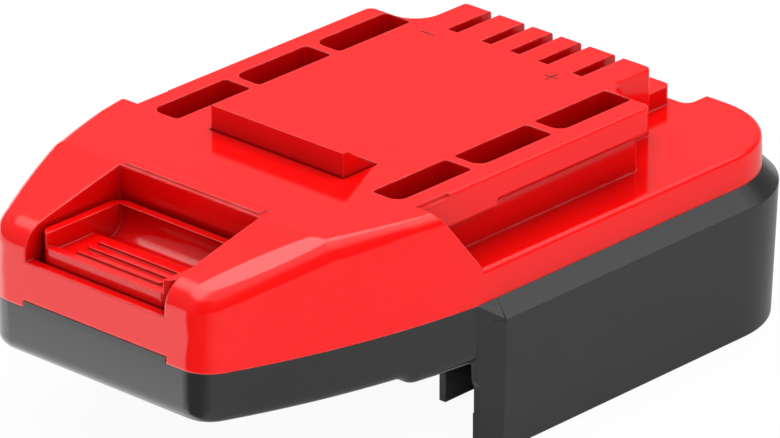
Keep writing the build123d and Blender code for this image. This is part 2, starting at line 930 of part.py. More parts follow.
def terminal_holder():
    """Make the insulating block on the board that the spring clips stand in."""
    top = board_depth - holder_height
    rear = holder_front_back + holder_length
    solid = rounded_block(holder_half_width, holder_front_back, rear, top, board_depth, terminal_edge_radius)
    for x in slot_places:
        solid -= board_opening(x, clip_leg_back(), clip_leg_length, blade_thickness)
    relief_half = (outer_slot_x - inner_slot_pitch - 2 * clip_half_width) / 4
    relief_x = (outer_slot_x + inner_slot_pitch) / 2
    relief_foot = top + clip_seat_height
    for x in (-relief_x, relief_x):
        solid -= block(x - relief_half, x + relief_half, holder_front_back, rear, top, relief_foot)
    return solid


def clip(x):
    """Make one spring clip: two sheet leaves that close on a blade, and the leg under them."""
    seat = board_depth - holder_height
    base = down(seat) + clip_sheet / 2
    top = down(clip_top_depth)
    height = top - base
    throat_z = top - height / 4
    belly_z = base + height / 4
    leaf_x = clip_throat + clip_sheet / 2
    side_x = clip_half_width - clip_sheet / 2
    mouth_x = (leaf_x + side_x) / 2
    line = Polyline(
        (-mouth_x, top),
        (-leaf_x, throat_z),
        (-side_x, belly_z),
        (-side_x, base),
        (side_x, base),
        (side_x, belly_z),
        (leaf_x, throat_z),
        (mouth_x, top),
    )
    face = Plane.XZ * trace(line, line_width=clip_sheet)
    start = holder_front_back + (holder_length - clip_length) / 2
    solid = Pos(x, back(start), 0) * extrude(face, amount=clip_length, dir=Vector(0, 1, 0))
    leg_foot = board_depth + board_thickness + power_bar_thickness + blade_tail_rise / 2
    leg = block(
        x - blade_thickness / 2,
        x + blade_thickness / 2,
        clip_leg_back(),
        clip_leg_back() + clip_leg_length,
        seat - clip_sheet / 2,
        leg_foot,
    )
    return solid + leg


def blade(x):
    """Make one flat blade that enters the donor pack, with the tail that rises to the board."""
    half = blade_thickness / 2
    reach = blade_height / 2
    centre = tray_rear_depth + blade_centre_drop
    rear = blade_tail_back() + blade_tail_length
    plate = block(x - half, x + half, blade_front_back, rear, centre - reach, centre + reach)
    tips = plate.edges().filter_by(Axis.X).sort_by(Axis.Y)[:2]
    plate = chamfer(tips, length=blade_tip_chamfer)
    tail_top = board_depth - blade_tail_rise
    return plate + block(x - half, x + half, blade_tail_back(), rear, tail_top, centre)


def blade_holder():
    """Make the block under the floor that holds the four blades, with its flange inside the bay."""
    rear = blade_holder_front_back + blade_holder_length
    floor = tray_rear_depth - shell_wall
    foot = tray_rear_depth + blade_holder_drop
    solid = wide_block(blade_holder_half_width, blade_holder_front_back, rear, floor, foot)
    solid += wide_block(
        blade_holder_half_width + blade_holder_flange,
        blade_holder_front_back - blade_holder_flange,
        rear + blade_holder_flange,
        floor - blade_holder_flange_thickness,
        floor,
    )
    board_foot = board_depth + board_thickness
    pad_back = blade_tail_back() + blade_tail_length / 2
    for side in (-1, 1):
        pad_x = side * (blade_outer_x + blade_inner_x) / 2
        solid += peg(pad_x, pad_back, holder_pad_radius, board_foot, floor)
    centre = tray_rear_depth + blade_centre_drop
    half = blade_thickness / 2 + seat_gap
    tail_rear = blade_tail_back() + blade_tail_length + seat_gap
    reach = blade_height / 2 + seat_gap
    for x in (-blade_outer_x, -blade_inner_x, blade_inner_x, blade_outer_x):
        solid -= block(x - half, x + half, blade_holder_front_back, tail_rear, centre - reach, centre + reach)
        solid -= block(x - half, x + half, blade_tail_back() - seat_gap, tail_rear, board_foot, centre)
    return solid


def power_bar(side):
    """Make the copper bar under the board that joins an outer clip to an outer blade."""
    middle = side * (outer_slot_x + blade_outer_x) / 2
    start = clip_leg_back() - power_bar_overlap
    end = blade_tail_back() + blade_tail_length + power_bar_overlap
    top = board_depth + board_thickness
    half = power_bar_width / 2
    solid = block(middle - half, middle + half, start, end, top, top + power_bar_thickness)
    solid -= board_opening(side * outer_slot_x, clip_leg_back(), clip_leg_length, blade_thickness)
    return solid - board_opening(side * blade_outer_x, blade_tail_back(), blade_tail_length, blade_thickness)


def capacitor():
    """Make the can capacitor that stands on the board, with its crimp ring."""
    solid = peg(capacitor_x, capacitor_back, capacitor_radius, board_depth - capacitor_height, board_depth)
    groove_top = board_depth - 3 * capacitor_crimp
    groove_foot = board_depth - 2 * capacitor_crimp
    groove = peg(capacitor_x, capacitor_back, capacitor_radius + overrun, groove_top, groove_foot)
    groove -= peg(capacitor_x, capacitor_back, capacitor_radius - capacitor_crimp, groove_top, groove_foot)
    return solid - groove


def power_transistors():
    """Make the two switching transistors, each a body with its cooling tab."""
    solids = []
    for number in range(2):
        x = -number * transistor_pitch
        half = transistor_width / 2
        end = transistor_back + transistor_length
        body = block(x - half, x + half, transistor_back, end, board_depth - transistor_height, board_depth)
        top = board_depth - transistor_height / 2
        tab_half = half * 3 / 4
        tab_end = transistor_back - transistor_tab
        solids.append(body + block(x - tab_half, x + tab_half, tab_end, transistor_back, top, board_depth))
    return Compound(children=solids)


def chip_resistors():
    """Make the row of small resistors behind the transistors."""
    solids = []
    for number in range(resistor_count):
        x = (number - (resistor_count - 1) / 2) * resistor_pitch
        half = resistor_width / 2
        end = resistor_back + resistor_length
        top = board_depth - resistor_height
        solids.append(block(x - half, x + half, resistor_back, end, top, board_depth))
    return Compound(children=solids)


def case_screws():
    """Make the four screws that close the case from below."""
    solids = []
    for x, distance, seat in screw_places():
        screw = peg(x, distance, screw_shank_radius, seat - screw_length, seat + screw_head_height / 2)
        screw += peg(x, distance, screw_head_radius, seat, seat + screw_head_height)
        low_face = seat + screw_head_height
        half = screw_slot_width / 2
        reach = screw_head_radius * 2 / 3
        cut_top = low_face - screw_slot_depth
        for across, along in ((half, reach), (reach, half)):
            near = distance - along
            far = distance + along
            screw -= block(x - across, x + across, near, far, cut_top, low_face + overrun)
        solids.append(screw)
    return Compound(children=solids)


def board_screws():
    """Make the two small screws that hold the front of the board."""
    solids = []
    for side in (-1, 1):
        x = side * board_screw_x
        head_top = board_depth - board_screw_head_height
        screw = peg(x, board_screw_back, board_screw_head_radius, head_top, board_depth)
        foot = board_depth + board_screw_length
        solids.append(screw + peg(x, board_screw_back, board_screw_shank_radius, head_top, foot))
    return Compound(children=solids)


def all_pieces():
    """Return every piece of the adapter under its own name."""
    pieces = {
        "upper_shell": upper_shell(),
        "lower_shell": lower_shell(),
        "release_button": release_button(),
        "latch_slide": latch_slide(),
        "latch_spring_left": latch_spring(-1),
        "latch_spring_right": latch_spring(1),
        "terminal_holder": terminal_holder(),
        "blade_holder": blade_holder(),
        "circuit_board": circuit_board(),
        "power_bar_negative": power_bar(-1),
        "power_bar_positive": power_bar(1),
        "capacitor": capacitor(),
        "power_transistors": power_transistors(),
        "chip_resistors": chip_resistors(),
        "case_screws": case_screws(),
        "board_screws": board_screws(),
    }
    clip_names = ["negative", "signal_left", "signal_middle", "signal_right", "positive"]
    for name, x in zip(clip_names, slot_places):
        pieces["clip_" + name] = clip(x)
    blade_names = ["negative", "signal_left", "signal_right", "positive"]
    blade_places = [-blade_outer_x, -blade_inner_x, blade_inner_x, blade_outer_x]
    for name, x in zip(blade_names, blade_places):
        pieces["blade_" + name] = blade(x)
    return pieces


os.makedirs("parts", exist_ok=True)
for name, piece in all_pieces().items():
    export_step(piece, "parts/" + name + ".step")
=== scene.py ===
# %% [markdown]
# # A tool battery adapter
# The adapter is two moulded shells. The red one copies the top of a battery pack, so that a power tool
# slides onto its rails. The black one is a foot with skirts, and another make of slide pack slides into
# it from the front. A sprung latch with a thumb scoop holds the tool. The measured model is loaded first,
# as a fixed frame in metres. All that follows dresses it: a camera, a floor, light, finishes for every
# piece, softer cheeks on the nose, the corners of the skirts, copies of the springs, and two moulded
# marks.

# %% Load the frame
import json
import math

import bmesh
import bpy
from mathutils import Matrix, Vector


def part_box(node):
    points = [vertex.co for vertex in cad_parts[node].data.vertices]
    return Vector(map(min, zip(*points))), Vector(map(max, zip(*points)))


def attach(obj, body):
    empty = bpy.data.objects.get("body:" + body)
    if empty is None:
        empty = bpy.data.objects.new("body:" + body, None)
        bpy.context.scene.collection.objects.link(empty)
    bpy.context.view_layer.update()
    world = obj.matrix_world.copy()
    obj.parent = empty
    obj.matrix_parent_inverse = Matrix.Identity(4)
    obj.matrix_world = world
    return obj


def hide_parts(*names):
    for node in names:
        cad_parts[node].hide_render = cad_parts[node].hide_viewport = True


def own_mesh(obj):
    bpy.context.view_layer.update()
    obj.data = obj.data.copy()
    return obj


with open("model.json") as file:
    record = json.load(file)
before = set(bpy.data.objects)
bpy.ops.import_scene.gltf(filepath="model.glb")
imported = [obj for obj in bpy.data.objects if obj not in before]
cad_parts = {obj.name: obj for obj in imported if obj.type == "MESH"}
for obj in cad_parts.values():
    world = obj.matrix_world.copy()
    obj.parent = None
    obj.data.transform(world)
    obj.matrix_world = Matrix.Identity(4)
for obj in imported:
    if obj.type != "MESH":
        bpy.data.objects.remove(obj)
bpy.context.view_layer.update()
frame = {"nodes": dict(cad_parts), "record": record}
nodes = frame["nodes"]


def millimetres(value):
    """Turn a length in millimetres into Blender's metres."""
    return value / 1000


# %% [markdown]
# ## The camera
# The adapter is seen from its front right corner, a little above it, through a long lens. A long lens
# from far away keeps the parallel edges of the rails nearly parallel, as they are in the picture that is
# matched. The camera's place is worked out from a point that it looks at, an azimuth, an elevation and a
# distance.

# %% Set up the camera
LOOK_AT = Vector((0.03071, -0.03048, 0.0437))
AZIMUTH = math.radians(42.71)
ELEVATION = math.radians(23.89)
DISTANCE = 1.2946
SENSOR_WIDTH = 36.0
FRAME_WIDTH = 780
FOCAL_PIXELS = 8285
CLIP_START = 0.05

away = Vector((
    math.sin(AZIMUTH) * math.cos(ELEVATION),
    -math.cos(AZIMUTH) * math.cos(ELEVATION),
    math.sin(ELEVATION),
))
camera_data = bpy.data.cameras.new("camera")
camera_data.sensor_width = SENSOR_WIDTH
camera_data.lens = SENSOR_WIDTH * FOCAL_PIXELS / FRAME_WIDTH
camera_data.clip_start = CLIP_START
camera = bpy.data.objects.new("camera", camera_data)
bpy.context.scene.collection.objects.link(camera)
camera.location = LOOK_AT + away * DISTANCE
camera.rotation_euler = away.to_track_quat("Z", "Y").to_euler()
bpy.context.scene.camera = camera
bpy.context.scene.view_settings.view_transform = "Standard"
print("camera at", [round(v, 4) for v in camera.location], "lens", round(camera_data.lens, 1))


# %% [markdown]
# ## The moves of a node tree
# The floor, the world and every finish are node trees, and all of them are made of the same few moves:
# add a node and set its sockets by name, do a sum, blend two values, turn a place into a brightness. Each
# move is a short function here, so that the trees further on read like recipes.

# %% Add nodes and do sums
WHITE = (1, 1, 1, 1)


def add_node(tree, kind, values=None, **settings):
    """Add a node, set its properties, and set its sockets by name."""
    node = tree.nodes.new(kind)
    for key, value in settings.items():
        setattr(node, key, value)
    for key, value in (values or {}).items():
        node.inputs[key].default_value = value
    return node


def feed(tree, value, socket):
    """Set a socket to a number, or link another node's result to it."""
    if isinstance(value, (int, float)):
        socket.default_value = value
    else:
        tree.links.new(value, socket)


def maths(tree, operation, first, second, clamp=False):
    """Add a Math node whose two inputs are numbers or results, and return its own result."""
    node = add_node(tree, "ShaderNodeMath", operation=operation, use_clamp=clamp)
    feed(tree, first, node.inputs[0])
    feed(tree, second, node.inputs[1])
    return node.outputs[0]


def new_material(name):
    """Make an empty material and return it with its node tree."""
    material = bpy.data.materials.new(name)
    material.use_nodes = True
    material.node_tree.nodes.clear()
    return material, material.node_tree


print("moves:", [move.__name__ for move in (add_node, feed, maths, new_material)])


# %% Blend and ramp
def fade(tree, value, start, end):
    """Add a soft step that is 0 at the first value and 1 at the second."""
    limits = {"From Min": start, "From Max": end}
    node = add_node(tree, "ShaderNodeMapRange", limits, interpolation_type="SMOOTHSTEP")
    tree.links.new(value, node.inputs["Value"])
    return node.outputs[0]


def between(tree, share, first, second):
    """Blend from a first number to a second by a share, where each may be another node's result."""
    node = add_node(tree, "ShaderNodeMix", data_type="FLOAT")
    factor, _, start, end = node.inputs[:4]
    for value, socket in ((share, factor), (first, start), (second, end)):
        feed(tree, value, socket)
    return node.outputs[0]


def ramp(tree, value, stops):
    """Turn a value from 0 to 1 into a brightness through stops of place and grey."""
    node = tree.nodes.new("ShaderNodeValToRGB")
    band = node.color_ramp.elements
    while len(band) > 1:
        band.remove(band[-1])
    band[0].position, grey = stops[0]
    band[0].color = (grey, grey, grey, 1)
    for position, grey in stops[1:]:
        band.new(position).color = (grey, grey, grey, 1)
    tree.links.new(value, node.inputs[0])
    return node.outputs[0]


def mix_shaders(tree, share, first, second):
    """Blend two shaders by a share and return the result."""
    node = add_node(tree, "ShaderNodeMixShader")
    for result, socket in zip((share, first, second), node.inputs):
        tree.links.new(result, socket)
    return node.outputs[0]


def gloss_rays(tree, path):
    """Return 1 for a ray that left a glossy or clear surface, and 0 for any other."""
    return maths(tree, "MAXIMUM", path.outputs["Is Glossy Ray"], path.outputs["Is Transmission Ray"])


print("moves:", [move.__name__ for move in (fade, between, ramp, mix_shaders, gloss_rays)])


# %% [markdown]
# ## The floor
# A product like this is photographed on a white sweep. The floor is a plain pale sheet. To the camera it
# glows nearly white, so the background is clean, but a small part of its real shading is kept, and that
# is where the soft shadow shows.

# %% Lay the floor
FLOOR_HALF = 3.0
FLOOR_GAP = 0.0002


def deselect_all():
    """Leave nothing selected, so that an operator acts only on what is made next."""
    bpy.ops.object.select_all(action="DESELECT")


deselect_all()
bpy.ops.mesh.primitive_plane_add(size=2 * FLOOR_HALF, location=(0, 0, -FLOOR_GAP))
floor = bpy.context.object
floor.name = "floor"
floor_material, tree = new_material("pale floor")
floor.data.materials.append(floor_material)
print("floor:", [round(v, 2) for v in floor.dimensions])

# %% [markdown]
# ## The cards on the floor
# Polished plastic is a mirror for what stands round it, and in the picture the front is lit by a bright
# card, while the corner of the nose shows a dark strip. So the floor shows the gloss a fan of cards round
# that corner. Each stop is an angle round the corner in degrees, where 0 points straight ahead of the
# adapter and 90 to the right as seen from the front, with a brightness. The fan is brighter close in
# front of the nose. The camera doesn't see the cards, and they light nothing else.

# %% Work out the cards on the floor
CORNER_X = 0.0176
CORNER_Y = -0.0656
CARD_STOPS = [
    (-180, 0.22), (-120, 0.5), (-90, 1.0), (-30, 1.0), (-22, 0.01),
    (28, 0.02), (55, 0.28), (100, 0.22), (180, 0.18),
]
FULL_TURN = 360
AHEAD_SHARE = 0.5
FRONT_CARD = 1.45
NEAR_CARD = 0.8
NEAR_EDGE = (0.045, 0.020)

path = add_node(tree, "ShaderNodeLightPath")
spot = add_node(tree, "ShaderNodeTexCoord")
spot_split = add_node(tree, "ShaderNodeSeparateXYZ")
tree.links.new(spot.outputs["Object"], spot_split.inputs[0])
ahead = maths(tree, "SUBTRACT", CORNER_Y, spot_split.outputs["Y"])
across = maths(tree, "SUBTRACT", spot_split.outputs["X"], CORNER_X)
turn = maths(tree, "ARCTAN2", across, ahead)
turn_share = maths(tree, "ADD", maths(tree, "MULTIPLY", turn, 1 / math.tau), AHEAD_SHARE)
cards = ramp(tree, turn_share, [(angle / FULL_TURN + AHEAD_SHARE, grey) for angle, grey in CARD_STOPS])
nearness = maths(tree, "MULTIPLY", fade(tree, ahead, *NEAR_EDGE), NEAR_CARD)
cards = maths(tree, "MULTIPLY", cards, maths(tree, "ADD", nearness, FRONT_CARD))
print("cards:", len(CARD_STOPS), "stops")

# %% Paint the floor
PAPER = (0.88, 0.88, 0.88, 1)
GLOW_SHARE = 0.95

paper = add_node(tree, "ShaderNodeBsdfDiffuse", {"Color": PAPER})
glow = add_node(tree, "ShaderNodeEmission", {"Color": WHITE})
in_gloss = gloss_rays(tree, path)
tree.links.new(between(tree, in_gloss, 1.0, cards), glow.inputs["Strength"])
seen = maths(tree, "MAXIMUM", path.outputs["Is Camera Ray"], in_gloss)
glow_share = maths(tree, "MULTIPLY", seen, GLOW_SHARE)
painted = mix_shaders(tree, glow_share, paper.outputs[0], glow.outputs[0])
output = add_node(tree, "ShaderNodeOutputMaterial")
tree.links.new(painted, output.inputs["Surface"])
print("floor finish:", len(tree.nodes), "nodes")


# %% [markdown]
# ## The sky
# The world lights the adapter softly and evenly, and to the camera it is plain white. The gloss sees a
# sky of its own: low down it is nearly dark, so the deck and the walls keep their full red, and overhead
# it is bright, so the facets of the nose and the softened edges light up. It is brighter on the left than
# on the right, and one more box high up behind on the right draws the line along the top of the black
# skirt.

# %% Work out what the gloss sees in the sky
SKY_TOP = 3.2
SKY_STOPS = [
    (0.0, 0.07), (0.30, 0.09), (0.45, 0.112), (0.67, 0.13), (0.72, 0.48), (0.80, 0.90), (0.92, 1.0),
]
LEFT_EDGE = (0.15, -0.25)
RIGHT_SHARE = 0.3
RIGHT_GLOW = 1.25
RIGHT_EDGE = (0.02, 0.22)
HIGH_EDGE = (0.40, 0.66)
BEHIND_EDGE = (0.30, 0.55)

world = bpy.data.worlds.new("studio")
bpy.context.scene.world = world
world.use_nodes = True
tree = world.node_tree
tree.nodes.clear()
direction = add_node(tree, "ShaderNodeTexCoord")
split = add_node(tree, "ShaderNodeSeparateXYZ")
tree.links.new(direction.outputs["Generated"], split.inputs[0])
overhead = maths(tree, "MULTIPLY", ramp(tree, split.outputs["Z"], SKY_STOPS), SKY_TOP)
left_share = between(tree, fade(tree, split.outputs["X"], *LEFT_EDGE), RIGHT_SHARE, 1.0)
overhead = maths(tree, "MULTIPLY", overhead, left_share)
from_right = maths(tree, "MULTIPLY", fade(tree, split.outputs["X"], *RIGHT_EDGE), RIGHT_GLOW)
high_up = fade(tree, split.outputs["Z"], *HIGH_EDGE)
from_behind = fade(tree, split.outputs["Y"], *BEHIND_EDGE)
right_box = maths(tree, "MULTIPLY", maths(tree, "MULTIPLY", from_right, high_up), from_behind)
gloss_glow = maths(tree, "ADD", overhead, right_box)
print("sky for the gloss:", len(tree.nodes), "nodes")

# %% Light the world
SKY_LEVEL = 0.36

path = add_node(tree, "ShaderNodeLightPath")
shown = add_node(tree, "ShaderNodeBackground", {"Color": WHITE})
tree.links.new(gloss_glow, shown.inputs["Strength"])
soft = add_node(tree, "ShaderNodeBackground", {"Color": WHITE, "Strength": SKY_LEVEL})
clean = add_node(tree, "ShaderNodeBackground", {"Color": WHITE, "Strength": 1.0})
lit = mix_shaders(tree, gloss_rays(tree, path), soft.outputs[0], shown.outputs[0])
whole = mix_shaders(tree, path.outputs["Is Camera Ray"], lit, clean.outputs[0])
output = add_node(tree, "ShaderNodeOutputWorld")
tree.links.new(whole, output.inputs["Surface"])
print("world:", world.name)

# %% [markdown]
# ## The lamps
# Two large soft boxes give the walls and hollows their shading: one hangs over the adapter, and a weaker
# one stands on the right. They are hidden from the gloss, because a lamp would be mirrored as a hard
# white patch, and the gloss has its own cards and sky.

# %% Hang the soft boxes
LAMPS = {
    "over the adapter": dict(place=(-0.10, 0.30, 1.0), size=1.4, watts=15),
    "right side": dict(place=(0.9, -0.55, 0.8), size=0.7, watts=6),
}
CENTRE = Vector((0, 0, 0.02))


def soft_box(name, place, size, watts):
    """Add a square area lamp at a place, turned to face the middle of the adapter."""
    lamp_data = bpy.data.lights.new(name, "AREA")
    lamp_data.size = size
    lamp_data.energy = watts
    lamp = bpy.data.objects.new(name, lamp_data)
    bpy.context.scene.collection.objects.link(lamp)
    lamp.location = place
    lamp.rotation_euler = (Vector(place) - CENTRE).to_track_quat("Z", "Y").to_euler()
    lamp.visible_glossy = False
    return lamp


print("lamps:", [soft_box(name, **lamp).name for name, lamp in LAMPS.items()])


# %% [markdown]
# ## Effects that the finishes share
# Four effects come back in the finishes, so each is a node group that is built once. *Soft edge* rounds
# the shading of every edge a little, because no moulded edge is perfectly sharp, and it also tells where
# the edges are: there the rounded normal turns away from the face's own, and the cosine between them
# falls.

# %% Build the soft edge
FLOAT = "NodeSocketFloat"
COLOUR = "NodeSocketColor"
VECTOR = "NodeSocketVector"
BEVEL_SAMPLES = 6
FLAT_COSINE = 0.99
EDGE_COSINE = 0.80


def new_group(name, inputs, outputs):
    """Make a node group with named sockets and return it with its input and output nodes."""
    group = bpy.data.node_groups.new(name, "ShaderNodeTree")
    for label, kind in inputs.items():
        group.interface.new_socket(label, in_out="INPUT", socket_type=kind)
    for label, kind in outputs.items():
        group.interface.new_socket(label, in_out="OUTPUT", socket_type=kind)
    return group, group.nodes.new("NodeGroupInput"), group.nodes.new("NodeGroupOutput")


soft_edge, source, result = new_group("soft edge", {"Radius": FLOAT}, {"Normal": VECTOR, "Edge": FLOAT})
rounding = add_node(soft_edge, "ShaderNodeBevel", samples=BEVEL_SAMPLES)
soft_edge.links.new(source.outputs["Radius"], rounding.inputs["Radius"])
geometry = add_node(soft_edge, "ShaderNodeNewGeometry")
cosine = add_node(soft_edge, "ShaderNodeVectorMath", operation="DOT_PRODUCT")
soft_edge.links.new(rounding.outputs[0], cosine.inputs[0])
soft_edge.links.new(geometry.outputs["Normal"], cosine.inputs[1])
edge = add_node(soft_edge, "ShaderNodeMapRange", {"From Min": FLAT_COSINE, "From Max": EDGE_COSINE})
soft_edge.links.new(cosine.outputs["Value"], edge.inputs["Value"])
soft_edge.links.new(rounding.outputs[0], result.inputs["Normal"])
soft_edge.links.new(edge.outputs[0], result.inputs["Edge"])
print("group:", soft_edge.name)

# %% [markdown]
# *Moulded skin* varies a colour and a roughness slightly over the surface, in patches as wide as a
# fingertip, and gives a height for a fine grain. Both come from noise that is placed by the object's own
# coordinates, so no image is needed and the pattern stays with the piece when it moves.

# %% Build the moulded skin
PATCH_NOISE = {"Detail": 4.0, "Roughness": 0.6}
GRAIN_NOISE = {"Detail": 2.0, "Roughness": 0.5}
NOISE_MIDDLE = 0.5


def scaled(tree, colour, factor):
    """Multiply a colour by a number and return the result."""
    node = add_node(tree, "ShaderNodeVectorMath", operation="SCALE")
    tree.links.new(colour, node.inputs[0])
    tree.links.new(factor, node.inputs["Scale"])
    return node.outputs[0]


moulded_skin, source, result = new_group(
    "moulded skin",
    {
        "Colour": COLOUR, "Shade change": FLOAT, "Roughness": FLOAT, "Roughness change": FLOAT,
        "Patch scale": FLOAT, "Grain scale": FLOAT,
    },
    {"Colour": COLOUR, "Roughness": FLOAT, "Height": FLOAT},
)
place = add_node(moulded_skin, "ShaderNodeTexCoord")
patches = add_node(moulded_skin, "ShaderNodeTexNoise", PATCH_NOISE)
grain = add_node(moulded_skin, "ShaderNodeTexNoise", GRAIN_NOISE)
for noise, label in ((patches, "Patch scale"), (grain, "Grain scale")):
    moulded_skin.links.new(place.outputs["Object"], noise.inputs["Vector"])
    moulded_skin.links.new(source.outputs[label], noise.inputs["Scale"])
around_zero = maths(moulded_skin, "SUBTRACT", patches.outputs["Fac"], NOISE_MIDDLE)
shade = maths(moulded_skin, "MULTIPLY", around_zero, source.outputs["Shade change"])
shade = maths(moulded_skin, "ADD", shade, 1.0)
tint = scaled(moulded_skin, source.outputs["Colour"], shade)
rough = maths(moulded_skin, "MULTIPLY", around_zero, source.outputs["Roughness change"])
rough = maths(moulded_skin, "ADD", rough, source.outputs["Roughness"], clamp=True)
moulded_skin.links.new(tint, result.inputs["Colour"])
moulded_skin.links.new(rough, result.inputs["Roughness"])
moulded_skin.links.new(grain.outputs["Fac"], result.inputs["Height"])
print("group:", moulded_skin.name)

# %% [markdown]
# *Hollow shade* is painted shade: it darkens a colour where other surfaces stand close around it. In the
# picture the red falls off more in its pockets, recess and undercuts than plain light transport gives,
# and an ambient occlusion node measures just that: the share of directions that are open within a reach.

# %% Build the hollow shade
OCCLUSION_SAMPLES = 8

hollow_shade, source, result = new_group(
    "hollow shade", {"Colour": COLOUR, "Reach": FLOAT, "Depth": FLOAT}, {"Colour": COLOUR}
)
openness = add_node(hollow_shade, "ShaderNodeAmbientOcclusion", samples=OCCLUSION_SAMPLES)
hollow_shade.links.new(source.outputs["Reach"], openness.inputs["Distance"])
closed = maths(hollow_shade, "SUBTRACT", 1.0, openness.outputs["AO"])
lost = maths(hollow_shade, "MULTIPLY", closed, source.outputs["Depth"])
kept = maths(hollow_shade, "SUBTRACT", 1.0, lost, clamp=True)
hollow_shade.links.new(scaled(hollow_shade, source.outputs["Colour"], kept), result.inputs["Colour"])
print("group:", hollow_shade.name)

# %% [markdown]
# *Edge wear and highlight* lets a lighter colour show on the edges only: partly a painted highlight, a
# pale rim where a rounded edge would catch the light, and partly rubbed wear. A noise breaks it up,
# because handling rubs an edge unevenly.

# %% Build the edge wear and highlight
WEAR_NOISE = {"Scale": 420.0, "Detail": 3.0}
WEAR_GATE = {"From Min": 0.35, "From Max": 0.65}

# Painted highlight and wear: a lighter colour is mixed in where the edge mask is high.
edge_wear_and_highlight, source, result = new_group(
    "edge wear",
    {"Colour": COLOUR, "Wear and highlight colour": COLOUR, "Edge": FLOAT, "Amount": FLOAT},
    {"Colour": COLOUR},
)
place = add_node(edge_wear_and_highlight, "ShaderNodeTexCoord")
breakup = add_node(edge_wear_and_highlight, "ShaderNodeTexNoise", WEAR_NOISE)
edge_wear_and_highlight.links.new(place.outputs["Object"], breakup.inputs["Vector"])
gate = add_node(edge_wear_and_highlight, "ShaderNodeMapRange", WEAR_GATE)
edge_wear_and_highlight.links.new(breakup.outputs["Fac"], gate.inputs["Value"])
mask = maths(edge_wear_and_highlight, "MULTIPLY", source.outputs["Edge"], gate.outputs[0])
mask = maths(edge_wear_and_highlight, "MULTIPLY", mask, source.outputs["Amount"], clamp=True)
mixer = add_node(edge_wear_and_highlight, "ShaderNodeMix", data_type="RGBA")
edge_wear_and_highlight.links.new(mask, mixer.inputs["Factor"])
edge_wear_and_highlight.links.new(source.outputs["Colour"], mixer.inputs["A"])
edge_wear_and_highlight.links.new(source.outputs["Wear and highlight colour"], mixer.inputs["B"])
edge_wear_and_highlight.links.new(mixer.outputs["Result"], result.inputs["Colour"])
print("groups:", [group.name for group in bpy.data.node_groups])


# %% [markdown]
# ## The finishes
# Every finish is one shader with the shared effects in front of it. What differs is written in a table:
# the colour, how rough it is, how deep the grain is and how much its edges are lightened, by a painted
# highlight and by wear. A finish that says nothing of a quality takes it from the plain look. A colour
# here is linear, as Blender's sockets take it.

# %% Write a finish
PLAIN_LOOK = dict(
    metallic=0.0, ior=1.5, shade_change=0.06, roughness_change=0.06, patch_scale=60.0,
    edge_radius=millimetres(0.3), wear=0.2, grain=0.05,
)
GRAIN_SCALE = 4000.0
GRAIN_DEPTH = millimetres(0.05)
HOLLOW_REACH = millimetres(14)


def place_group(tree, group, values):
    """Put a shared group into a tree and set its sockets by name."""
    node = tree.nodes.new("ShaderNodeGroup")
    node.node_tree = group
    for key, value in values.items():
        node.inputs[key].default_value = value
    return node


def finish(name, own_look):
    """Make a finish: skin, painted edge highlight and wear, grain, painted hollow shade if set, and the
    shader.
    """
    look = {**PLAIN_LOOK, **own_look}
    material, tree = new_material(name)
    shader = add_node(tree, "ShaderNodeBsdfPrincipled", {"Metallic": look["metallic"], "IOR": look["ior"]})
    skin = place_group(tree, moulded_skin, {
        "Colour": (*look["colour"], 1),
        "Shade change": look["shade_change"],
        "Roughness": look["roughness"],
        "Roughness change": look["roughness_change"],
        "Patch scale": look["patch_scale"],
        "Grain scale": GRAIN_SCALE,
    })
    edges = place_group(tree, soft_edge, {"Radius": look["edge_radius"]})
    # The edge group lays a lighter colour on the edges, partly painted highlight and partly wear.
    wear = place_group(tree, edge_wear_and_highlight, {"Wear and highlight colour": (*look["rubbed"], 1), "Amount": look["wear"]})
    tree.links.new(skin.outputs["Colour"], wear.inputs["Colour"])
    tree.links.new(edges.outputs["Edge"], wear.inputs["Edge"])
    bump = add_node(tree, "ShaderNodeBump", {"Strength": look["grain"], "Distance": GRAIN_DEPTH})
    tree.links.new(skin.outputs["Height"], bump.inputs["Height"])
    tree.links.new(edges.outputs["Normal"], bump.inputs["Normal"])
    colour = wear.outputs["Colour"]
    # Painted shade: where a finish sets a depth, its colour is darkened in hollows.
    if "hollow" in look:
        hollow = place_group(tree, hollow_shade, {"Reach": HOLLOW_REACH, "Depth": look["hollow"]})
        tree.links.new(colour, hollow.inputs["Colour"])
        colour = hollow.outputs["Colour"]
    tree.links.new(colour, shader.inputs["Base Color"])
    tree.links.new(skin.outputs["Roughness"], shader.inputs["Roughness"])
    tree.links.new(bump.outputs[0], shader.inputs["Normal"])
    output = add_node(tree, "ShaderNodeOutputMaterial")
    tree.links.new(shader.outputs[0], output.inputs["Surface"])
    return material


print("plain look:", PLAIN_LOOK)

# %% [markdown]
# ## The table of looks
# The outer red is a clean glossy plastic whose edges get a pale painted highlight, the black one is a
# little rougher, and the button has its own red, because it is another moulding. The pieces inside are
# brass, steel, green board and dull moulded parts. Small sharp pieces get a small edge radius, since a
# radius wider than the piece would blur it.

# %% Fill the table
# The pale second red is a painted highlight that the edge group lays on the rims of the red plastics.
RED = (0.95, 0.003, 0.003)
EDGE_HIGHLIGHT_RED = (1.0, 0.16, 0.15)
FINE_EDGE = millimetres(0.1)
WIRE_EDGE = millimetres(0.05)

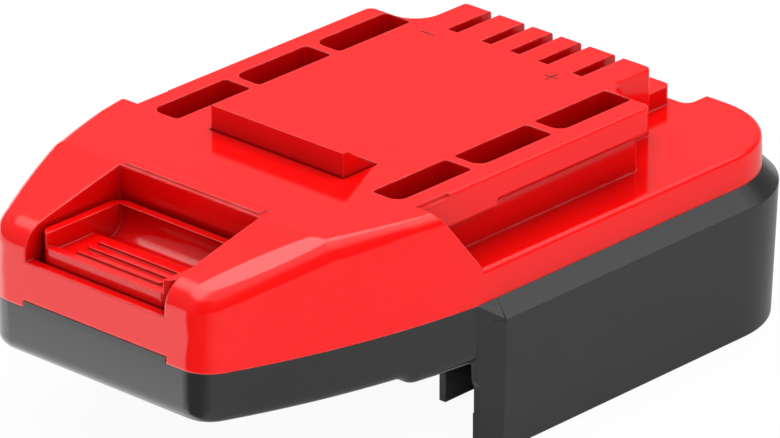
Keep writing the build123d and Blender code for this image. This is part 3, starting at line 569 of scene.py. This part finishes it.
LOOKS = {
    "red_plastic": dict(
        colour=RED, roughness=0.11, rubbed=EDGE_HIGHLIGHT_RED, wear=0.6, ior=1.55, grain=0.02, shade_change=0.03,
        roughness_change=0.04, edge_radius=millimetres(0.5), hollow=0.72,
    ),
    "latch_plastic": dict(
        colour=RED, roughness=0.13, rubbed=EDGE_HIGHLIGHT_RED, wear=0.6, ior=1.55, grain=0.03, shade_change=0.04,
        roughness_change=0.06, hollow=0.8,
    ),
    # The dark red of the marks is painted shade, standing for the shade in moulded grooves.
    "mark_shade_red": dict(
        colour=(0.22, 0.003, 0.003), roughness=0.35, rubbed=(0.5, 0.02, 0.02), wear=0.3, grain=0.1,
        edge_radius=WIRE_EDGE,
    ),
    "black_plastic": dict(
        colour=(0.023, 0.023, 0.024), roughness=0.20, rubbed=(0.11, 0.11, 0.11), wear=0.5, ior=1.55,
        grain=0.10, shade_change=0.2, roughness_change=0.08,
    ),
    "insulator": dict(colour=(0.02, 0.02, 0.022), roughness=0.55, rubbed=(0.08, 0.08, 0.08), grain=0.2),
    "contact_brass": dict(
        colour=(0.80, 0.55, 0.24), metallic=1.0, roughness=0.28, rubbed=(0.95, 0.78, 0.45),
        roughness_change=0.2, shade_change=0.25, patch_scale=300.0, edge_radius=FINE_EDGE,
    ),
    "board": dict(
        colour=(0.02, 0.16, 0.06), roughness=0.35, rubbed=(0.35, 0.32, 0.2), patch_scale=200.0,
        shade_change=0.3, edge_radius=FINE_EDGE,
    ),
    "component": dict(
        colour=(0.02, 0.02, 0.02), roughness=0.5, rubbed=(0.1, 0.1, 0.1), grain=0.3, edge_radius=FINE_EDGE,
    ),
    "can": dict(
        colour=(0.78, 0.78, 0.80), metallic=1.0, roughness=0.3, rubbed=(0.9, 0.9, 0.9),
        edge_radius=FINE_EDGE,
    ),
    "spring_steel": dict(
        colour=(0.6, 0.6, 0.62), metallic=1.0, roughness=0.3, rubbed=(0.8, 0.8, 0.8), edge_radius=WIRE_EDGE,
    ),
    "screw_steel": dict(
        colour=(0.16, 0.16, 0.17), metallic=1.0, roughness=0.38, rubbed=(0.5, 0.5, 0.5), wear=0.8,
        roughness_change=0.2, edge_radius=FINE_EDGE,
    ),
}
finishes = {name: finish(name, look) for name, look in LOOKS.items()}
for node in nodes.values():
    for material_slot in node.material_slots:
        material_slot.material = finishes[material_slot.material.name.split(".")[0]]
print("finishes:", len(finishes))


# %% [markdown]
# ## The cheeks of the nose
# On both sides of the thumb recess the deck rolls down to the front in a crowned cheek. Its outer edge is
# a wide soft shoulder, and one flat facet is cut across it, which is the brightest spot of the whole
# part. The measured red shell has these forms, but its shoulder is tighter and its facet is larger. So
# its mesh is copied, its double points are merged, and only the tops of the cheeks are shaped anew. The
# shading stored with the copy is cleared, since it belongs to the old form.

# %% Copy the red shell
MERGE_GAP = millimetres(0.0005)

red_shell = nodes["upper_shell"].copy()
red_shell.data = nodes["upper_shell"].data.copy()
red_shell.name = "red_shell"
bpy.context.scene.collection.objects.link(red_shell)
deselect_all()
red_shell.select_set(True)
bpy.context.view_layer.objects.active = red_shell
bpy.ops.mesh.customdata_custom_splitnormals_clear()
bpy.ops.object.mode_set(mode="EDIT")
bpy.ops.mesh.select_all(action="SELECT")
bpy.ops.mesh.remove_doubles(threshold=MERGE_GAP)
bpy.ops.object.mode_set(mode="OBJECT")
print("red_shell:", len(red_shell.data.vertices), "points after the merge")

# %% [markdown]
# ## The height of a cheek
# A cheek could be sculpted by hand, but a formula keeps both sides alike and every size in view. Each
# point of the plan gets a depth below the deck. It is the depth of the crown, a straight slope with a
# slight bulge, until the point comes near the wall, where a quarter circle rolls over to the side. In
# plan the wall of the nose is a straight front, a small arc round the corner and a wide arc along the
# side, so the way from a point to the wall follows from the centres of the two arcs. All values here are
# in millimetres.

# %% Measure the way to the wall
FRONT_HALF = 19.1
SIDE_START = (24.9, 3.8)
WIDEST = (36.9, 48.7)


def arc_centre(start, end, inward):
    """Return the centre and radius of an arc whose normal at its start points inward."""
    chord = Vector(end) - Vector(start)
    radius = chord.length_squared / (2 * chord.dot(inward))
    return Vector(start) + inward * radius, radius


corner_centre, corner_radius = arc_centre((FRONT_HALF, 0), SIDE_START, Vector((0, 1)))
side_inward = (corner_centre - Vector(SIDE_START)).normalized()
side_centre, side_radius = arc_centre(SIDE_START, WIDEST, side_inward)


def from_wall(x, back):
    """Return how far a point of the plan lies inside the wall of the nose."""
    point = Vector((abs(x), back))
    if point.x < FRONT_HALF:
        return back
    turned = point - corner_centre
    if turned.y < 0 and turned.cross(Vector(SIDE_START) - corner_centre) > 0:
        return corner_radius - turned.length
    return side_radius - (point - side_centre).length


print("corner radius", round(corner_radius, 2), "side radius", round(side_radius, 1))

# %% Work out the height of a cheek
SLOPE_LENGTH = 21.8
FOOT_DEPTH = 5.1
CROWN_RISE = 0.10
SEAM_DEPTH = 17.7
DRAFT = math.tan(math.radians(1.5))
SHOULDER = 3.6
SHOULDER_REAR = 2.5
SHOULDER_FADE = (24.0, 36.0)


def share_of_way(value, start, end):
    """Return how far a value has come from a start to an end, from 0 to 1."""
    return min(max((value - start) / (end - start), 0), 1)


def crown_depth(back):
    """Return the depth of the crown of a cheek below the deck."""
    share = share_of_way(back, 0, SLOPE_LENGTH)
    return FOOT_DEPTH * (1 - share) - 4 * CROWN_RISE * share * (1 - share)


def cheek_depth(x, back):
    """Return the depth of a cheek with its shoulder below the deck."""
    crown = crown_depth(back)
    radius = SHOULDER + (SHOULDER_REAR - SHOULDER) * share_of_way(back, *SHOULDER_FADE)
    inside = from_wall(x, back) - DRAFT * (SEAM_DEPTH - crown - radius)
    gap = radius - min(max(inside, 0), radius)
    return crown + radius - math.sqrt(radius ** 2 - gap ** 2)


print("depth at the foot of the slope:", crown_depth(0), "mm")

# %% [markdown]
# ## A grid on the cheeks
# The measured cheeks have few and long faces, which can't follow a new curve. Bisects at even steps,
# first lengthwise and then across, divide the faces of the cheeks and leave the rest of the shell alone.
# Then each of their points is set to the height that the formula gives.

# %% Find the cheeks
CHEEK_INNER = 15.4
CHEEK_OUTER = 35.4
CHEEK_REAR = 36.0
CHEEK_DEEPEST = 9.3
INNER_SLACK = 0.1
LEAST_UPWARD = 0.04

mount_places = {mount["name"]: mount["pos_m"] for mount in frame["record"]["mounts"]}
DECK_Z = mount_places["deck"][2]
FRONT_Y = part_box("upper_shell")[0][1]


def in_millimetres(value):
    """Turn a length in Blender's metres into millimetres."""
    return value * 1000


def in_plan(point):
    """Return a point as its place across, behind the front and below the deck, in millimetres."""
    return in_millimetres(point.x), in_millimetres(point.y - FRONT_Y), in_millimetres(DECK_Z - point.z)


def in_space(x, back, depth):
    """Return the point in Blender's metres for a place across, behind the front and below the deck."""
    return Vector((millimetres(x), FRONT_Y + millimetres(back), DECK_Z - millimetres(depth)))


def is_cheek(face):
    """Tell whether a face belongs to the top of a cheek."""
    x, back, depth = in_plan(face.calc_center_median())
    in_reach = abs(x) > CHEEK_INNER - INNER_SLACK and back < CHEEK_REAR and depth < CHEEK_DEEPEST
    return in_reach and face.normal.z > LEAST_UPWARD


shape = bmesh.new()
shape.from_mesh(red_shell.data)
print("cheeks:", sum(is_cheek(face) for face in shape.faces), "faces before the grid")

# %% Shape the cheeks
GRID = 0.5
CUT_GAP = millimetres(0.001)
QUAD_CORNERS = 4


def cut_cheeks(place, normal):
    """Divide the faces of the cheeks along a plane."""
    cheek = [face for face in shape.faces if is_cheek(face)]
    corners = {corner for face in cheek for corner in face.verts}
    rims = {rim for face in cheek for rim in face.edges}
    bmesh.ops.bisect_plane(
        shape, geom=[*cheek, *rims, *corners], dist=CUT_GAP, plane_co=place, plane_no=normal
    )


for side in (-1, 1):
    for step in range(round((CHEEK_OUTER - CHEEK_INNER) / GRID)):
        cut_cheeks(in_space(side * (CHEEK_INNER + GRID * step), 0, 0), Vector((1, 0, 0)))
for step in range(1, round(CHEEK_REAR / GRID)):
    cut_cheeks(in_space(0, GRID * step, 0), Vector((0, 1, 0)))
moved = {corner for face in shape.faces if is_cheek(face) for corner in face.verts}
for corner in moved:
    x, back, _ = in_plan(corner.co)
    corner.co.z = DECK_Z - millimetres(cheek_depth(x, back))
bmesh.ops.triangulate(shape, faces=[face for face in shape.faces if len(face.verts) > QUAD_CORNERS])
shape.to_mesh(red_shell.data)
shape.free()
print("red_shell:", len(red_shell.data.polygons), "faces,", len(moved), "points set")

# %% [markdown]
# ## The facets
# A facet looks flat only when all of it lies in one plane. So each side gets one more bisect: the part of
# the cheek above the plane is cleared and the cut is filled, as a file would leave it. The rim of the
# facet is marked sharp, so that the smooth shading of the cheek stops there. Weighted normals then let
# the large faces rule the shading beside the small ones.

# %% Cut the facets
FACET_X = 24.6
FACET_BACK = 21.06
FACET_OUT = math.tan(math.radians(7.3))
FACET_FRONT = math.tan(math.radians(15.5))
FLAT_SHARE = 0.99999


def on_cheek(face, side):
    """Tell whether a face belongs to the top of the cheek on one side."""
    return is_cheek(face) and face.calc_center_median().x * side > 0


bpy.ops.object.mode_set(mode="EDIT")
bpy.ops.mesh.select_mode(type="FACE")
for side in (-1, 1):
    tilt = Vector((side * FACET_OUT, -FACET_FRONT, 1))
    bpy.ops.mesh.select_all(action="DESELECT")
    mesh = bmesh.from_edit_mesh(red_shell.data)
    for face in mesh.faces:
        face.select = on_cheek(face, side)
    bmesh.update_edit_mesh(red_shell.data)
    bpy.ops.mesh.bisect(
        plane_co=in_space(side * FACET_X, FACET_BACK, 0),
        plane_no=tilt,
        use_fill=True,
        clear_outer=True,
        threshold=CUT_GAP,
    )
    mesh = bmesh.from_edit_mesh(red_shell.data)
    for face in mesh.faces:
        face.select = on_cheek(face, side) and face.normal.dot(tilt.normalized()) > FLAT_SHARE
    print("facet:", sum(face.select for face in mesh.faces), "faces")
    bmesh.update_edit_mesh(red_shell.data)
    bpy.ops.mesh.region_to_loop()
    bpy.ops.mesh.mark_sharp()
    bpy.ops.mesh.select_mode(type="FACE")
bpy.ops.object.mode_set(mode="OBJECT")

# %% Smooth the shell and put it in place
SMOOTH_ANGLE = math.radians(25)

bpy.ops.object.shade_smooth_by_angle(angle=SMOOTH_ANGLE, keep_sharp_edges=True)
bpy.ops.object.modifier_add(type="WEIGHTED_NORMAL")
weighting = red_shell.modifiers[-1]
weighting.keep_sharp = True
bpy.ops.object.modifier_apply(modifier=weighting.name)
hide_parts("upper_shell")
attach(red_shell, "housing")
print("red_shell:", len(red_shell.data.polygons), "faces with its facets")


# %% [markdown]
# ## The corners of the skirts
# The skirts flare out from the sides of the body, and a chamfer runs along their top. On the real part
# the chamfer is one straight cut, so the flare stands upright right up to it. The measured shell has a
# small third face there. A cube is added for each corner, its points are moved in edit mode to the
# corners of the missing wedge and a little inside the shell, and their convex hull is the wedge. Being
# set in, it leaves no gap at its rims.

# %% Fill the skirt corners
SKIRT_X = 39.7
BODY_X, FLARE_START = WIDEST
FLARE_END = 52.6
BEVEL_FOOT = 20.5
SET_IN = 0.6
REAR_REACH = 0.3


def skirt_corner(name, side):
    """Make the wedge between the flare and the chamfer of one skirt."""
    foot = in_space(side * BODY_X, FLARE_START, BEVEL_FOOT)
    tip = in_space(side * SKIRT_X, FLARE_END, BEVEL_FOOT)
    head = in_space(side * BODY_X, FLARE_START, SEAM_DEPTH)
    rear = in_space(side * BODY_X, FLARE_END + SET_IN + REAR_REACH, SEAM_DEPTH)
    inward = Vector((-side * millimetres(SET_IN), 0, 0))
    targets = {
        (-1, -1, -1): foot + inward,
        (-1, -1, 1): head + inward,
        (-1, 1, -1): rear + inward,
        (-1, 1, 1): rear + inward,
        (1, -1, -1): foot,
        (1, -1, 1): head,
        (1, 1, -1): tip,
        (1, 1, 1): rear,
    }
    deselect_all()
    bpy.ops.mesh.primitive_cube_add(size=1)
    wedge = bpy.context.object
    wedge.name = name
    bpy.ops.object.mode_set(mode="EDIT")
    mesh = bmesh.from_edit_mesh(wedge.data)
    for corner in mesh.verts:
        corner.co = targets[tuple(round(2 * value) for value in corner.co)]
    bmesh.update_edit_mesh(wedge.data)
    bpy.ops.mesh.select_all(action="SELECT")
    bpy.ops.mesh.convex_hull()
    bpy.ops.mesh.select_all(action="SELECT")
    bpy.ops.mesh.normals_make_consistent(inside=False)
    bpy.ops.object.mode_set(mode="OBJECT")
    wedge.data.materials.append(finishes["black_plastic"])
    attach(wedge, "housing")
    print(name, "has", len(wedge.data.polygons), "faces")


skirt_corner("skirt_corner_left", -1)
skirt_corner("skirt_corner_right", 1)


# %% [markdown]
# ## The latch springs
# Two small coil springs push the latch up. When the latch is pressed they shorten towards their posts.
# Each is copied from the measured spring, which is hidden, and the copy rides on the housing with a
# mesh of its own.


def shortening_spring(name, measured):
    """Copy a measured spring, hide the measured one, and let the copy ride on the housing."""
    spring = nodes[measured].copy()
    spring.data = nodes[measured].data.copy()
    spring.name = name
    bpy.context.scene.collection.objects.link(spring)
    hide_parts(measured)
    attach(spring, "housing")
    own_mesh(spring)


for side_name in ("left", "right"):
    shortening_spring("coil_spring_" + side_name, "latch_spring_" + side_name)


# %% [markdown]
# ## The polarity marks
# In front of the two outer slots a minus and a plus are moulded into the deck, so that nobody wires the
# pack the wrong way round. Each stroke is a shallow bar: a cube is added at its place, scaled to the
# stroke's size and both are applied, so that the object itself stays at the origin. Then its upper edges
# are bevelled in edit mode. The plus is two strokes that are joined. The strokes are a dark red, which is
# painted shade that stands for the shade in moulded grooves.

# %% Make one stroke
MARK_LENGTH = millimetres(2.8)
MARK_WIDTH = millimetres(0.38)
MARK_HEIGHT = millimetres(0.08)
MARK_SINK = millimetres(0.02)
MARK_BEVEL = millimetres(0.04)
MARK_BEVEL_STEPS = 2
MARK_SMOOTH_ANGLE = math.radians(50)
MARK_Y = millimetres(29.2)


def mark_stroke(name, x, along_y=False):
    """Make one stroke of a mark on the deck, lengthwise across the adapter or along it."""
    deselect_all()
    bpy.ops.mesh.primitive_cube_add(size=1, location=(x, MARK_Y, DECK_Z - MARK_SINK + MARK_HEIGHT / 2))
    stroke = bpy.context.object
    stroke.name = name
    plan = (MARK_WIDTH, MARK_LENGTH) if along_y else (MARK_LENGTH, MARK_WIDTH)
    stroke.scale = (*plan, MARK_HEIGHT)
    bpy.ops.object.transform_apply(location=True, rotation=True, scale=True)
    bpy.ops.object.mode_set(mode="EDIT")
    bpy.ops.mesh.select_mode(type="EDGE")
    bpy.ops.mesh.select_all(action="DESELECT")
    mesh = bmesh.from_edit_mesh(stroke.data)
    for rim in mesh.edges:
        rim.select = all(corner.co.z > DECK_Z for corner in rim.verts)
    bmesh.update_edit_mesh(stroke.data)
    bpy.ops.mesh.bevel(offset=MARK_BEVEL, segments=MARK_BEVEL_STEPS, affect="EDGES")
    bpy.ops.object.mode_set(mode="OBJECT")
    bpy.ops.object.shade_smooth_by_angle(angle=MARK_SMOOTH_ANGLE)
    return stroke


print("stroke:", round(in_millimetres(MARK_LENGTH), 2), "mm long")

# %% Mould the marks
MINUS_X = millimetres(-15.9)
PLUS_X = millimetres(11.3)


def finish_mark(mark):
    """Give a mark its finish and let it ride on the housing."""
    mark.data.materials.append(finishes["mark_shade_red"])
    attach(mark, "housing")
    print(mark.name, "has", len(mark.data.polygons), "faces")


finish_mark(mark_stroke("minus_mark", MINUS_X))
plus_across = mark_stroke("plus_mark", PLUS_X)
plus_along = mark_stroke("plus_upright", PLUS_X, along_y=True)
deselect_all()
plus_along.select_set(True)
plus_across.select_set(True)
bpy.context.view_layer.objects.active = plus_across
bpy.ops.object.join()
finish_mark(plus_across)
